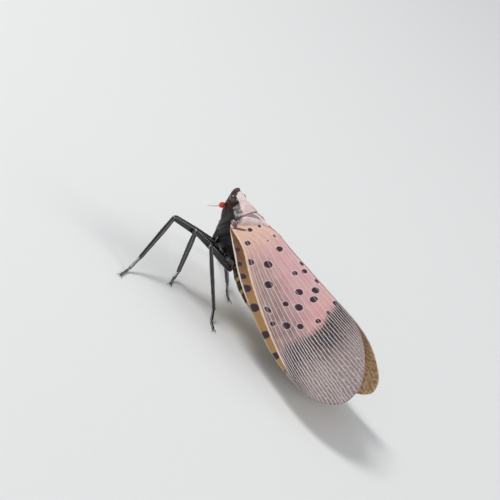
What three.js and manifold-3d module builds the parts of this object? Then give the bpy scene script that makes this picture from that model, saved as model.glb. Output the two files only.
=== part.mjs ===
// A spotted lanternfly, life size, standing at rest with its wings closed over its back like a roof.
// Millimetres, +Z up. The head looks along -Y, the insect's left side is +X, and its feet stand on z = 0.
import * as THREE from "three";
import { mergeVertices } from "three/addons/utils/BufferGeometryUtils.js";
import Module from "manifold-3d";

const wasm = await Module();
wasm.setup();

// Stance. A body point is (s, n, h): s runs back from the tip of the head, n to the left, h up from the tip.
const HEAD_HEIGHT = 11.0;
const BODY_PITCH = THREE.MathUtils.degToRad(18);

// Gaps that touching pieces keep.
const GAP = 0.3;
const FINE_GAP = 0.15;

// Forewing: a roof-like sheet. Its own coordinates are s, and W, the distance down from the ridge.
const WING_THICK = 0.5;
const RIDGE_START = 4.1;
const RIDGE_HEIGHT = 1.12;
const RIDGE_RISE = 0.247;
const WING_WIDTH = 9.4;
const SLOPE_AT_RIDGE = 42;
const SLOPE_AT_MARGIN = 68;
const APEX_FLATTENING = { left: 10, right: -8 };
const APEX_START = 16;
const APEX_LENGTH = 9;
// The outline's four sides in (s, W). The hind margin runs past the ridge, where the two wings are cut apart.
const COSTAL_MARGIN = [[3.8, 3.7], [6.05, 4.95], [9.1, 6.5], [13, 7.95], [17, 9.05], [20, 9.55], [22.3, 9.65]];
const HIND_MARGIN = [[3.8, 2.4], [5.4, -0.1], [9, -0.35], [13, -0.35], [16.5, -0.3], [18.8, 0], [20.3, 0.5]];
const APICAL_MARGIN = [
  [20.3, 0.5], [22.0, 1.45], [23.6, 2.75], [25.2, 4.5], [25.95, 6.4],
  [25.85, 7.6], [25.1, 8.75], [23.8, 9.4], [22.3, 9.65],
];
const RIDGE_GAP = 0.15;

// Where the main veins stand between the hind margin (0) and the costal margin (1): at the base and the apex.
const VEINS = [
  [0.2, 0.08], [0.38, 0.2], [0.5, 0.32], [0.6, 0.44], [0.69, 0.56],
  [0.77, 0.68], [0.84, 0.8], [0.9, 0.91],
];
const VEIN_RISE = 0.16;
const VEIN_HALF_WIDTH = 0.16;

// Hindwing, folded under the forewing.
const HINDWING_DROP = WING_THICK + GAP;
const HINDWING_ALONG = [0.09, 0.94];
const HINDWING_ACROSS = [0.17, 0.93];

const COLOURS = {
  black: [0x1b1817, 0.35],
  face: [0x35231f, 0.5],
  eye: [0x241a26, 0.2],
  antenna: [0xd8421f, 0.45],
  shield: [0xc9b3ac, 0.6],
  forewing: [0xc4a1a0, 0.55],
  hindwing: [0x5a2420, 0.6],
  abdomen: [0xb9a24a, 0.5],
};

function material(key) {
  const [color, roughness] = COLOURS[key];
  return new THREE.MeshStandardMaterial({ color, roughness, metalness: 0 });
}

const lerp = THREE.MathUtils.lerp;

function atBody(s, n, h) {
  const c = Math.cos(BODY_PITCH);
  const d = Math.sin(BODY_PITCH);
  return new THREE.Vector3(n, s * c + h * d, HEAD_HEIGHT - s * d + h * c);
}

// A closed surface over rings of equal count, with a fan on each end.
function loft(rings) {
  const count = rings[0].length;
  const points = rings.flat();
  const index = [];
  for (let i = 0; i + 1 < rings.length; i++) {
    for (let j = 0; j < count; j++) {
      const a = i * count + j;
      const b = i * count + ((j + 1) % count);
      index.push(a, b, b + count, a, b + count, a + count);
    }
  }
  for (const [ring, flip] of [[0, false], [rings.length - 1, true]]) {
    const centre = new THREE.Vector3();
    rings[ring].forEach((p) => centre.addScaledVector(p, 1 / count));
    const hub = points.push(centre) - 1;
    for (let j = 0; j < count; j++) {
      const a = ring * count + j;
      const b = ring * count + ((j + 1) % count);
      index.push(...(flip ? [a, b, hub] : [b, a, hub]));
    }
  }
  return solid(new THREE.BufferGeometry().setFromPoints(points).setIndex(index));
}

// A geometry as a manifold solid, turned to face out.
function solid(geometry) {
  geometry.deleteAttribute("normal");
  geometry.deleteAttribute("uv");
  const merged = mergeVertices(geometry, 1e-5);
  const make = (triVerts) =>
    new wasm.Manifold(
      new wasm.Mesh({ numProp: 3, vertProperties: merged.attributes.position.array, triVerts }),
    );
  const made = make(new Uint32Array(merged.index.array));
  return made.volume() > 0 ? made : make(new Uint32Array(merged.index.array).reverse());
}

function largest(body) {
  return body.decompose().sort((a, b) => b.volume() - a.volume())[0];
}

function cut(body, ...tools) {
  return largest(tools.reduce((rest, tool) => rest.subtract(tool), body));
}

function join(...bodies) {
  return largest(bodies.reduce((sum, next) => sum.add(next)));
}

// A body stretch: cross-sections [s, half width, middle height, rise above it, depth below it].
function trunk(stations, grow = 0, sides = 28) {
  const last = stations.length - 1;
  const rings = stations.map(([s, half, middle, rise, depth], i) => {
    const end = i === 0 ? -grow : i === last ? grow : 0;
    return Array.from({ length: sides }, (_, j) => {
      const turn = (2 * Math.PI * j) / sides;
      const up = Math.sin(turn);
      const reach = up > 0 ? rise + grow : depth + grow;
      return atBody(s + end, (half + grow) * Math.cos(turn), middle + reach * up);
    });
  });
  return loft(rings);
}

// A limb: a round tube through points, with a radius at each, on a smooth curve.
function limb(points, radii, grow = 0, sides = 10) {
  const steps = Math.max(4, 2 * (points.length - 1));
  const curve = new THREE.CatmullRomCurve3(points, false, "centripetal");
  const frames = curve.computeFrenetFrames(steps);
  const rings = [];
  for (let i = 0; i <= steps; i++) {
    const along = (i / steps) * (radii.length - 1);
    const low = Math.min(Math.floor(along), radii.length - 2);
    const radius = lerp(radii[low], radii[low + 1], along - low) + grow;
    const centre = curve.getPoint(i / steps);
    if (i === 0) centre.addScaledVector(frames.tangents[0], -grow);
    if (i === steps) centre.addScaledVector(frames.tangents[steps], grow);
    rings.push(
      Array.from({ length: sides }, (_, j) => {
        const turn = (2 * Math.PI * j) / sides;
        return centre
          .clone()
          .addScaledVector(frames.normals[i], radius * Math.cos(turn))
          .addScaledVector(frames.binormals[i], radius * Math.sin(turn));
      }),
    );
  }
  return loft(rings);
}

// An egg: a ball stretched along the body's s, n and h.
function egg(s, n, h, size, grow = 0, detail = 9) {
  const ball = new THREE.SphereGeometry(1, detail * 2, detail);
  const place = new THREE.Matrix4().makeRotationX(-BODY_PITCH);
  const [along, across, tall] = size;
  ball.scale(across + grow, along + grow, tall + grow);
  ball.applyMatrix4(place);
  ball.translate(...atBody(s, n, h).toArray());
  return solid(ball);
}

// The point of the roof at (s, W), and its outward normal, both in world space.
function roofPoint(s, W, side) {
  const late = THREE.MathUtils.smoothstep(s, APEX_START, APEX_START + APEX_LENGTH);
  const flatter = (side > 0 ? APEX_FLATTENING.left : APEX_FLATTENING.right) * late;
  const top = THREE.MathUtils.degToRad(SLOPE_AT_RIDGE - flatter);
  const bend = THREE.MathUtils.degToRad(SLOPE_AT_MARGIN - SLOPE_AT_RIDGE) / WING_WIDTH;
  const slope = top + bend * W;
  const n = (Math.sin(slope) - Math.sin(top)) / bend;
  const h = RIDGE_HEIGHT + RIDGE_RISE * (s - RIDGE_START) + (Math.cos(slope) - Math.cos(top)) / bend;
  const normal = atBody(0, side * Math.sin(slope), Math.cos(slope)).sub(atBody(0, 0, 0));
  return { point: atBody(s, side * n, h), normal };
}

// A margin of the wing as a smooth curve of (s, W).
function margin(points) {
  return new THREE.SplineCurve(points.map(([s, W]) => new THREE.Vector2(s, W)));
}

// A thin closed sheet. place(u, v) gives its middle point and normal, lift(u, v) the height of its outer face.
function sheet(place, rows, columns, inner, lift) {
  const points = [];
  for (const outer of [true, false]) {
    for (const u of rows) {
      for (const v of columns) {
        const { point, normal } = place(u, v);
        points.push(point.addScaledVector(normal, outer ? lift(u, v) : -inner));
      }
    }
  }
  const wide = columns.length;
  const layer = rows.length * wide;
  const index = [];
  for (let i = 0; i + 1 < rows.length; i++) {
    for (let j = 0; j + 1 < wide; j++) {
      const a = i * wide + j;
      const b = a + 1;
      const c = a + wide;
      const d = c + 1;
      index.push(a, b, d, a, d, c);
      index.push(layer + b, layer + a, layer + d, layer + d, layer + a, layer + c);
    }
  }
  const rim = [];
  for (let j = 0; j < wide; j++) rim.push(j);
  for (let i = 1; i < rows.length; i++) rim.push(i * wide + wide - 1);
  for (let j = wide - 2; j >= 0; j--) rim.push((rows.length - 1) * wide + j);
  for (let i = rows.length - 2; i > 0; i--) rim.push(i * wide);
  rim.forEach((a, k) => {
    const b = rim[(k + 1) % rim.length];
    index.push(b, a, layer + a, b, layer + a, layer + b);
  });
  return solid(new THREE.BufferGeometry().setFromPoints(points).setIndex(index));
}

function evenly(count) {
  return Array.from({ length: count + 1 }, (_, i) => i / count);
}

// The wing's outline patch: the four margins blended, so that lines along it fan out from the base.
const WING_ROWS = 20;
const costal = margin(COSTAL_MARGIN);
const hind = margin(HIND_MARGIN);
const apical = margin(APICAL_MARGIN);

function wingPatch(u, v) {
  const [base0, base1, tip0, tip1] = [hind.points[0], costal.points[0], apical.points[0], apical.points.at(-1)];
  const sides = hind.getPoint(u).multiplyScalar(1 - v).addScaledVector(costal.getPoint(u), v);
  const ends = base0.clone().lerp(base1, v).multiplyScalar(1 - u).addScaledVector(apical.getPoint(v), u);
  const corners = base0.clone().lerp(base1, v).lerp(tip0.clone().lerp(tip1, v), u);
  return sides.add(ends).sub(corners);
}

// Pushes a place near the patch's rim outwards by grow, for the room that a neighbour leaves.
function grown(at, u, v, grow) {
  if (grow === 0) return at;
  const middle = wingPatch(0.5, 0.5);
  const out = at.clone().sub(middle).normalize();
  const onRim = u === 0 || u === 1 || v === 0 || v === 1;
  return onRim ? at.addScaledVector(out, 1.4 * grow) : at;
}

function forewingColumns() {
  const columns = [[0, 0, 0], [1, 1, 0]];
  for (const [base, apex] of VEINS) {
    for (const offset of [-1, 0, 1]) columns.push([base, apex, offset]);
  }
  return columns.sort((a, b) => a[0] - b[0] || a[2] - b[2]);
}

const sagittalSlab = (() => {
  const slab = new THREE.BoxGeometry(2 * RIDGE_GAP, 80, 80);
  slab.translate(0, 10, 0);
  return solid(slab);
})();

// The forewing's sheet. Its columns follow the veins, so each vein is a ridge in the sheet's own surface.
function forewing(side, grow = 0) {
  const columns = forewingColumns();
  const place = (u, k) => {
    const [base, apex, offset] = columns[k];
    const width = hind.getPoint(u).distanceTo(costal.getPoint(u));
    const v = lerp(base, apex, u) + (offset * Math.min(VEIN_HALF_WIDTH, 0.025 * width)) / width;
    const at = grown(wingPatch(u, v), u, v, grow);
    return roofPoint(at.x, at.y, side);
  };
  const fade = (u) => THREE.MathUtils.smoothstep(u, 0, 0.08);
  const lift = (u, k) => {
    const onVein = k > 0 && k < columns.length - 1 && columns[k][2] === 0;
    return WING_THICK / 2 + grow + (onVein ? VEIN_RISE * fade(u) : 0);
  };
  const made = sheet(place, evenly(WING_ROWS), columns.map((_, k) => k), WING_THICK / 2 + grow, lift);
  return grow === 0 ? cut(made, sagittalSlab) : made;
}

function hindwing(side, grow = 0) {
  const place = (u, v) => {
    const patch = wingPatch(lerp(...HINDWING_ALONG, u), lerp(...HINDWING_ACROSS, v));
    const at = grown(patch, u, v, grow);
    const { point, normal } = roofPoint(at.x, at.y, side);
    return { point: point.addScaledVector(normal, -HINDWING_DROP), normal };
  };
  const half = WING_THICK / 2 + grow;
  const made = sheet(place, evenly(14), evenly(8), half, () => half);
  return grow === 0 ? cut(made, sagittalSlab) : made;
}

// Trunk stretches.
const HEAD = [
  [0.0, 0.25, -0.04, 0.14, 0.2],
  [0.2, 0.58, -0.12, 0.36, 0.55],
  [0.45, 0.72, -0.3, 0.46, 0.85],
  [0.85, 0.88, -0.5, 0.72, 1.35],
  [1.3, 1.0, -0.65, 0.9, 1.95],
  [1.7, 1.05, -0.8, 1.0, 2.15],
  [2.05, 1.0, -0.9, 0.9, 2.3],
];
const PRONOTUM = [
  [1.75, 1.2, -0.55, 0.75, 0.4],
  [2.1, 1.62, -0.65, 1.0, 0.5],
  [2.7, 1.9, -0.7, 1.15, 0.55],
  [3.15, 1.95, -0.7, 1.2, 0.5],
];
const MESONOTUM = [
  [3.45, 1.9, -0.6, 1.2, 0.5],
  [4.1, 1.72, -0.4, 1.3, 0.5],
  [4.8, 1.15, -0.1, 1.2, 0.5],
  [5.4, 0.5, 0.3, 0.95, 0.45],
  [5.75, 0.25, 0.6, 0.7, 0.35],
];
const THORAX = [
  [2.3, 1.3, -2.3, 1.1, 1.5],
  [2.9, 1.85, -2.4, 1.5, 2.0],
  [3.8, 2.25, -2.4, 2.0, 2.3],
  [5.0, 2.45, -2.4, 2.3, 2.4],
  [6.2, 2.3, -2.4, 2.3, 2.3],
  [7.0, 1.95, -2.4, 2.0, 2.0],
];
const ABDOMEN_START = 7.3;
const ABDOMEN_END = 18.2;
const ABDOMEN_SEGMENTS = 8;

// The abdomen swells and tapers, and each ring overlaps the next in a low step.
function abdomenStations() {
  const stations = [];
  for (let i = 0; i < ABDOMEN_SEGMENTS; i++) {
    for (const [share, lip] of [[0, -0.07], [0.85, 0.05]]) {
      const t = (i + share) / (ABDOMEN_SEGMENTS - 0.15);
      const swell = Math.sin(Math.PI * (0.27 + 0.67 * t)) ** 0.8;
      const half = 2.75 * swell + lip;
      const middle = -2.55 + 0.9 * t * t;
      stations.push([lerp(ABDOMEN_START, ABDOMEN_END, t), half, middle, 0.86 * half, 0.95 * half]);
    }
  }
  return stations;
}

const EYE = [1.05, 1.02, -0.2];
const EYE_SIZE = [0.5, 0.36, 0.5];

// Legs: points in world space, for the left side as it stands and the right side as it stands.
const LEG_SIZES = {
  fore: { coxa: 0.5, femur: [0.36, 0.46, 0.42, 0.34], tibia: [0.32, 0.33, 0.29, 0.28] },
  mid: { coxa: 0.5, femur: [0.36, 0.46, 0.42, 0.34], tibia: [0.31, 0.31, 0.28, 0.27] },
  hind: { coxa: 0.52, femur: [0.36, 0.46, 0.42, 0.34], tibia: [0.33, 0.36, 0.33, 0.3] },
};
const LEGS = {
  fore_left: { root: [3.1, 1.0, -3.6], hip: [1.7, 2.3, 5.35], knee: [5.2, -1.7, 5.85], ankle: [8.7, -0.8, 1.35], toe: [12.1, -0.1] },
  mid_left: { root: [4.7, 1.1, -3.6], hip: [1.8, 4.1, 4.9], knee: [4.5, 0.9, 6.2], ankle: [3.7, 1.75, 0.95], toe: [5.5, 2.5] },
  hind_left: { root: [6.0, 1.2, -3.5], hip: [1.75, 5.6, 4.5], knee: [4.5, 3.27, 6.15], ankle: [4.2, 7.6, 1.1], toe: [5.8, 9.5] },
  fore_right: { root: [3.1, -1.0, -3.6], hip: [-1.7, 2.3, 5.35], knee: [-4.6, -0.8, 4.9], ankle: [-6.7, 0.3, 1.0], toe: [-8.7, 1.3] },
  mid_right: { root: [4.7, -1.1, -3.6], hip: [-1.8, 4.1, 4.9], knee: [-3.8, 1.5, 3.5], ankle: [-3.1, 4.7, 0.75], toe: [-1.7, 6.5] },
  hind_right: { root: [6.0, -1.2, -3.5], hip: [-1.75, 5.6, 4.5], knee: [-4.9, 3.6, 5.6], ankle: [-5.8, 10.8, 1.15], toe: [-6.4, 13.1] },
};
const TARSUS_RADII = [0.27, 0.25, 0.26, 0.27, 0.27];
const TOE_SINK = 0.18;
const SPINE_LENGTH = 0.75;
const SPINE_RADIUS = 0.16;

const floor = (() => {
  const block = new THREE.BoxGeometry(60, 60, 4);
  block.translate(0, 10, -2);
  return solid(block);
})();

// The points of a tarsus: down from the ankle and then flat along the floor to the toe.
function tarsusPoints(ankle, toe) {
  const flat = new THREE.Vector3(toe[0], toe[1], TOE_SINK);
  const bend = ankle.clone().lerp(flat, 0.55).setZ(TOE_SINK + 0.12);
  const sole = ankle.clone().lerp(flat, 0.75).setZ(TOE_SINK);
  return [ankle, bend, sole, flat];
}

function spines(knee, ankle, side) {
  return [0.35, 0.55, 0.75, 0.92].map((share) => {
    const root = knee.clone().lerp(ankle, share);
    const axis = ankle.clone().sub(knee).normalize();
    const out = new THREE.Vector3(side, 0.35, 0).addScaledVector(axis, 0.9).normalize();
    return limb([root, root.clone().addScaledVector(out, SPINE_LENGTH)], [SPINE_RADIUS, 0.03], 0, 5);
  });
}

// One leg's four solids: each is cut clear of the piece that it grows from.
function leg(name, ...trunkRooms) {
  const { root, hip, knee, ankle, toe } = LEGS[name];
  const kind = name.split("_")[0];
  const side = name.endsWith("left") ? 1 : -1;
  const size = LEG_SIZES[kind];
  const hipPoint = new THREE.Vector3(...hip);
  const kneePoint = new THREE.Vector3(...knee);
  const anklePoint = new THREE.Vector3(...ankle);
  const coxaPoints = [atBody(...root), hipPoint];
  const femurPoints = [hipPoint, kneePoint];
  const tibiaPoints = [kneePoint, anklePoint];
  const tarsus = tarsusPoints(anklePoint, toe);
  const coxa = limb(coxaPoints, [size.coxa, size.coxa * 0.85]);
  const coxaRoom = limb(coxaPoints, [size.coxa, size.coxa * 0.85], GAP);
  const femur = limb(femurPoints, size.femur);
  const femurRoom = limb(femurPoints, size.femur, GAP);
  let tibia = limb(tibiaPoints, size.tibia);
  if (kind === "hind") tibia = join(tibia, ...spines(kneePoint, anklePoint, side));
  const tibiaRoom = limb(tibiaPoints, size.tibia, GAP);
  return {
    coxa: cut(coxa, ...trunkRooms),
    femur: cut(femur, coxaRoom, ...trunkRooms),
    tibia: cut(tibia, femurRoom),
    tarsus: cut(limb(tarsus, TARSUS_RADII), tibiaRoom, floor),
  };
}

// An antenna: the swollen bulb on the cheek under the eye, and the fine needle beyond it.
function antenna(side) {
  const bulb = egg(0.95, side * 1.42, -1.72, [0.36, 0.36, 0.42]);
  const needle = limb(
    [atBody(0.95, side * 1.5, -1.8), atBody(0.7, side * 1.95, -2.3), atBody(0.3, side * 2.45, -2.75)],
    [0.26, 0.2, 0.04],
    0,
    8,
  );
  return join(bulb, needle);
}

const group = new THREE.Group();

function add(name, body, colour) {
  const mesh = body.getMesh();
  const geometry = new THREE.BufferGeometry();
  geometry.setAttribute("position", new THREE.BufferAttribute(mesh.vertProperties, 3));
  geometry.setIndex(new THREE.BufferAttribute(mesh.triVerts, 1));
  geometry.computeVertexNormals();
  const node = new THREE.Mesh(geometry, material(colour));
  node.name = name;
  group.add(node);
}

const wingRooms = [1, -1].flatMap((side) => [forewing(side, GAP), hindwing(side, GAP)]);
const eyeRooms = [1, -1].map((side) => egg(EYE[0], side * EYE[1], EYE[2], EYE_SIZE, FINE_GAP));
const pronotum = trunk(PRONOTUM);
const mesonotum = cut(trunk(MESONOTUM), trunk(PRONOTUM, GAP), ...wingRooms);
const thorax = cut(trunk(THORAX), trunk(PRONOTUM, GAP), trunk(MESONOTUM, GAP), trunk(HEAD, GAP), ...wingRooms);
const thoraxRoom = trunk(THORAX, GAP);
const head = cut(trunk(HEAD), trunk(PRONOTUM, FINE_GAP), ...eyeRooms);
const headRoom = trunk(HEAD, FINE_GAP);
const abdomenRoom = trunk(abdomenStations(), GAP);

add("head", head, "face");
add("pronotum", pronotum, "shield");
add("mesonotum", mesonotum, "shield");
add("thorax", thorax, "black");
add("abdomen", cut(trunk(abdomenStations()), thoraxRoom, ...wingRooms), "abdomen");

const ROSTRUM = [[2.0, -2.75], [2.6, -4.35], [3.6, -5.25], [5.2, -5.5], [7.3, -5.1]];
const rostrum = limb(ROSTRUM.map(([s, h]) => atBody(s, 0, h)), [0.34, 0.3, 0.27, 0.25, 0.12]);
add("rostrum", cut(rostrum, headRoom, thoraxRoom), "black");

for (const [side, word] of [[1, "left"], [-1, "right"]]) {
  add(`eye_${word}`, egg(EYE[0], side * EYE[1], EYE[2], EYE_SIZE), "eye");
  add(`antenna_${word}`, cut(antenna(side), headRoom), "antenna");
  const tegula = egg(3.55, side * 2.35, -1.15, [0.62, 0.42, 0.5]);
  const blockers = [thoraxRoom, trunk(PRONOTUM, GAP), trunk(MESONOTUM, GAP), ...wingRooms];
  add(`tegula_${word}`, cut(tegula, ...blockers), "shield");
  add(`forewing_${word}`, forewing(side), "forewing");
  add(`hindwing_${word}`, hindwing(side), "hindwing");
}
for (const name of Object.keys(LEGS)) {
  for (const [segment, body] of Object.entries(leg(name, thoraxRoom, abdomenRoom))) {
    add(`${segment}_${name}`, body, "black");
  }
}

// The origin is the middle of the model's outline on the floor.
const bounds = new THREE.Box3().setFromObject(group);
const middle = bounds.getCenter(new THREE.Vector3());
group.position.set(-middle.x, -middle.y, 0);

export default group;
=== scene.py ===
import math
from functools import partialmethod

import bpy
import numpy as np
from mathutils import Matrix, Vector


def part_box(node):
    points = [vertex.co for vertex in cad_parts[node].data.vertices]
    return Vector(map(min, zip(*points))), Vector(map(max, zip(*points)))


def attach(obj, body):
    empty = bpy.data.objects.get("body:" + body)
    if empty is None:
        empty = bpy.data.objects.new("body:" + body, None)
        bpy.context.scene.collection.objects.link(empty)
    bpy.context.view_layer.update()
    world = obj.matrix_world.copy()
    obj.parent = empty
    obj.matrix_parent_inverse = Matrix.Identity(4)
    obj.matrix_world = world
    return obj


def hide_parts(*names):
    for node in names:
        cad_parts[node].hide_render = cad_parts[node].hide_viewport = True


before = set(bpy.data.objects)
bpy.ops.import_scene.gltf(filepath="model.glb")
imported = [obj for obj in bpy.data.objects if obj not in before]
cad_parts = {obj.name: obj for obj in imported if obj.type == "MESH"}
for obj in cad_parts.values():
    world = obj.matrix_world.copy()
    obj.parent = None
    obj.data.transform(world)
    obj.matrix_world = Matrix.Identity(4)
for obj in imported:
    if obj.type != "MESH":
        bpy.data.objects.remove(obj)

bl_info = {
    "name": "Spotted lanternfly",
    "version": (1, 0, 0),
    "blender": (4, 5, 0),
    "location": "3D View > Sidebar > Lanternfly",
    "description": "A life-size spotted lanternfly at rest, dressed over its packed solids",
    "category": "Object",
}

BODY = "root"
MM = 0.001

# The driving sizes of the solids, in millimetres. (s, n, h) run back, left and up from the head's tip.
HEAD_HEIGHT = 11.0
BODY_PITCH = math.radians(18)
EYE = (1.05, 1.02, -0.2)
RIDGE_START, RIDGE_HEIGHT, RIDGE_RISE = 4.1, 1.12, 0.247
WING_WIDTH, SLOPE_AT_RIDGE, SLOPE_AT_MARGIN = 9.4, 42.0, 68.0
# Towards the apex the left wing lies flatter and the right one hangs steeper, by so many degrees.
APEX_FLATTENING = {1: 10.0, -1: -8.0}
APEX_START, APEX_LENGTH = 16.0, 9.0
# The forewing's three margins, as (s, W), where W is the distance down from the ridge.
COSTAL_MARGIN = ((3.8, 3.7), (6.05, 4.95), (9.1, 6.5), (13, 7.95), (17, 9.05), (20, 9.55), (22.3, 9.65))
HIND_MARGIN = ((2.85, 2.7), (5.75, 0.1), (9, 0.02), (13, 0.02), (16.5, 0.02), (18.8, 0.12), (20.3, 0.5))
APICAL_MARGIN = (
    (20.3, 0.5), (22.0, 1.45), (23.6, 2.75), (25.2, 4.5), (25.95, 6.4),
    (25.85, 7.6), (25.1, 8.75), (23.8, 9.4), (22.3, 9.65),
)
# The hindwing is let down below the forewing, takes a share of its outline, and is pleated like a fan.
HINDWING_DROP = 0.62
HINDWING_ALONG, HINDWING_ACROSS = (0.08, 0.82), (0.14, 0.9)
HINDWING_ROWS, HINDWING_COLUMNS = 120, 90
PLEATS, PLEAT_HEIGHT = 9, 0.06

# Where the forewing's long veins run, as shares of its width at the base, at LANE_MIDDLE and at the apex.
# The eighth is the pale main vein, which parts the tan costal strip from the pink field.
LANES = (
    (0.0, 0.0, 0.0), (0.14, 0.12, 0.10), (0.26, 0.23, 0.20), (0.36, 0.35, 0.31), (0.45, 0.46, 0.43),
    (0.53, 0.57, 0.55), (0.60, 0.67, 0.68), (0.66, 0.76, 0.82), (0.72, 0.835, 0.955), (1.0, 1.0, 1.0),
)
LANE_MIDDLE = 0.45
LAST_LANE, MAIN_LANE = len(LANES) - 1, 8
LANE_STEPS = 16
WING_ROWS = 240
# Raised veins: pitch and width of the bell, in lanes, and height against the long veins.
LONG_VEIN, SECOND_VEIN, NET_VEIN, MAIN_VEIN = (1, 0.11, 1.0), (0.5, 0.09, 0.7), (0.25, 0.06, 0.7), (0.16, 1.6)
# The membrane thins to this share of its thickness at the rim.
RIM_THICKNESS = 0.35
# Where the spotted field ends and the netted apex begins, as (W, s).
NET_START = (
    (-0.5, 15.8), (0.2, 16.0), (1.7, 16.7), (3.4, 17.5), (4.8, 17.75), (6.7, 17.6), (7.9, 17.7), (8.9, 18.9),
    (9.8, 20.8),
)
# The forewing's dark spots, and the blotches of its costal strip: s, W, radius, length over width.
SPOTS = (
    (4.93, 2.11, 0.25, 1), (5.00, 1.03, 0.16, 1.4), (6.12, 3.30, 0.30, 1), (6.72, 0.50, 0.13, 1.8),
    (6.87, 1.42, 0.08, 1.5), (8.25, 1.07, 0.34, 1), (8.10, 4.46, 0.38, 1), (9.21, 3.15, 0.42, 1.1),
    (10.78, 0.28, 0.15, 2), (11.38, 1.56, 0.28, 1), (11.65, 0.62, 0.28, 1), (13.20, 0.30, 0.15, 2),
    (11.17, 4.58, 0.43, 1), (13.40, 2.59, 0.39, 1), (14.02, 1.09, 0.38, 1), (14.81, 1.92, 0.44, 0.8),
    (13.86, 4.55, 0.30, 1), (14.84, 3.75, 0.41, 1), (13.49, 6.41, 0.24, 1.8), (15.07, 7.00, 0.29, 1),
    (15.94, 6.03, 0.41, 1), (16.71, 4.97, 0.33, 1), (16.88, 1.71, 0.22, 1.6), (17.09, 3.14, 0.29, 1),
    (16.22, 0.36, 0.25, 1.2),
)
BLOTCHES = (
    (6.24, 4.55, 0.24, 1), (7.71, 5.45, 0.28, 1), (9.07, 6.05, 0.33, 1), (10.41, 6.6, 0.45, 1),
    (12.62, 7.35, 0.5, 1), (15.70, 8.40, 0.62, 0.68), (18.2, 9.1, 0.66, 0.6), (20.2, 9.2, 0.32, 0.9),
)
# The brown patch at the wing's root runs down from (s, W) by so much W for each s.
ROOT_PATCH, ROOT_PATCH_FALL = (3.9, 3.35), 0.94

# The trunk's outline: s, top, upper half-width and its height, lower half-width and its height, bottom.
TRUNK = (
    (0.00, 0.02, 0.12, -0.05, 0.12, -0.10, -0.14),
    (0.07, 0.20, 0.40, -0.02, 0.40, -0.18, -0.34),
    (0.22, 0.27, 0.60, -0.06, 0.58, -0.40, -0.72),
    (0.42, 0.14, 0.70, -0.22, 0.68, -0.72, -1.15),
    (0.70, 0.20, 0.84, -0.40, 0.82, -1.15, -1.75),
    (1.20, 0.27, 0.98, -0.42, 0.98, -1.65, -2.50),
    (1.60, 0.24, 1.02, -0.48, 1.05, -1.95, -2.90),
    (1.78, 0.16, 1.05, -0.55, 1.10, -2.10, -3.05),
    (1.84, 0.27, 1.22, -0.60, 1.14, -2.15, -3.10),
    (2.10, 0.36, 1.42, -0.66, 1.25, -2.25, -3.35),
    (2.60, 0.46, 1.74, -0.72, 1.60, -2.40, -4.00),
    (3.10, 0.52, 1.98, -0.74, 1.95, -2.45, -4.40),
    (3.24, 0.50, 1.98, -0.74, 2.02, -2.45, -4.47),
    (3.31, 0.40, 1.86, -0.72, 2.06, -2.45, -4.50),
    (3.50, 0.56, 1.86, -0.62, 2.15, -2.45, -4.60),
    (4.10, 0.86, 1.70, -0.42, 2.32, -2.45, -4.75),
    (4.80, 1.06, 1.16, -0.10, 2.42, -2.45, -4.80),
    (5.40, 1.20, 0.52, 0.32, 2.42, -2.42, -4.80),
    (5.72, 1.22, 0.22, 0.72, 2.36, -2.40, -4.75),
    (5.84, 0.10, 0.90, -0.60, 2.34, -2.40, -4.72),
    (6.30, -0.15, 1.40, -1.00, 2.28, -2.42, -4.66),
    (6.90, -0.35, 1.55, -1.20, 2.10, -2.50, -4.50),
)
HEAD_END, PRONOTUM_START, PRONOTUM_END = 1.78, 1.84, 3.29
FINE_ROWS_END = 6.3
TRUNK_ROWS, ABDOMEN_ROWS, TRUNK_COLUMNS = 190, 130, 160
# A section also has a shoulder and a keel, by their shares of the half-width and of the drop or rise.
SHOULDER, KEEL = (0.62, 0.22), (0.62, 0.16)
ABDOMEN_START, ABDOMEN_END, ABDOMEN_SEGMENTS = 7.3, 18.25, 8
RING_LENGTH = (ABDOMEN_END - ABDOMEN_START) / ABDOMEN_SEGMENTS
ABDOMEN_HALF_WIDTH, ABDOMEN_TIP = 2.75, 0.28
# Small forms of the upper side. Rims run across it: height, s, width.
RIMS = ((0.06, 1.92, 0.06), (0.05, 3.18, 0.05))
# The middle keel and the vertex's edges run along it: height, |n|, width; start, rise, end and fall along s.
KEELS = (((0.05, 0, 0.07), (1.8, 0.1, 5.2, 0.3)), ((0.05, 0.5, 0.06), (0.4, 0.2, 1.7, 0.2)))
# The pronotum's pits and the hollow vertex: height, |n|, width; s and width along it.
HOLLOWS = (((-0.06, 0.4, 0.12), (2.55, 0.16)), ((-0.07, 0, 0.42), (1.25, 0.3)))
# The mesonotum's two slanting ridges run where |n| plus SLANT_LEAN times s is SLANT_AT.
SLANT_LEAN, SLANT_AT, SLANT_HEIGHT, SLANT_WIDTH = 0.95, 4.8, 0.06, 0.08
# The thorax's side plates: where their grooves are, how they lean, and the groove's and the swell's bells.
PLATES, PLATE_LEAN, PLATE_MIDDLE = (2.95, 4.2, 5.6), 0.22, -2.5
GROOVE_DEPTH, GROOVE_WIDTH, SWELL_HEIGHT, SWELL_WIDTH, SWELL_BEFORE = 0.09, 0.1, 0.06, 0.25, 0.4
PLATE_RADIUS = 2.0

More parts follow.
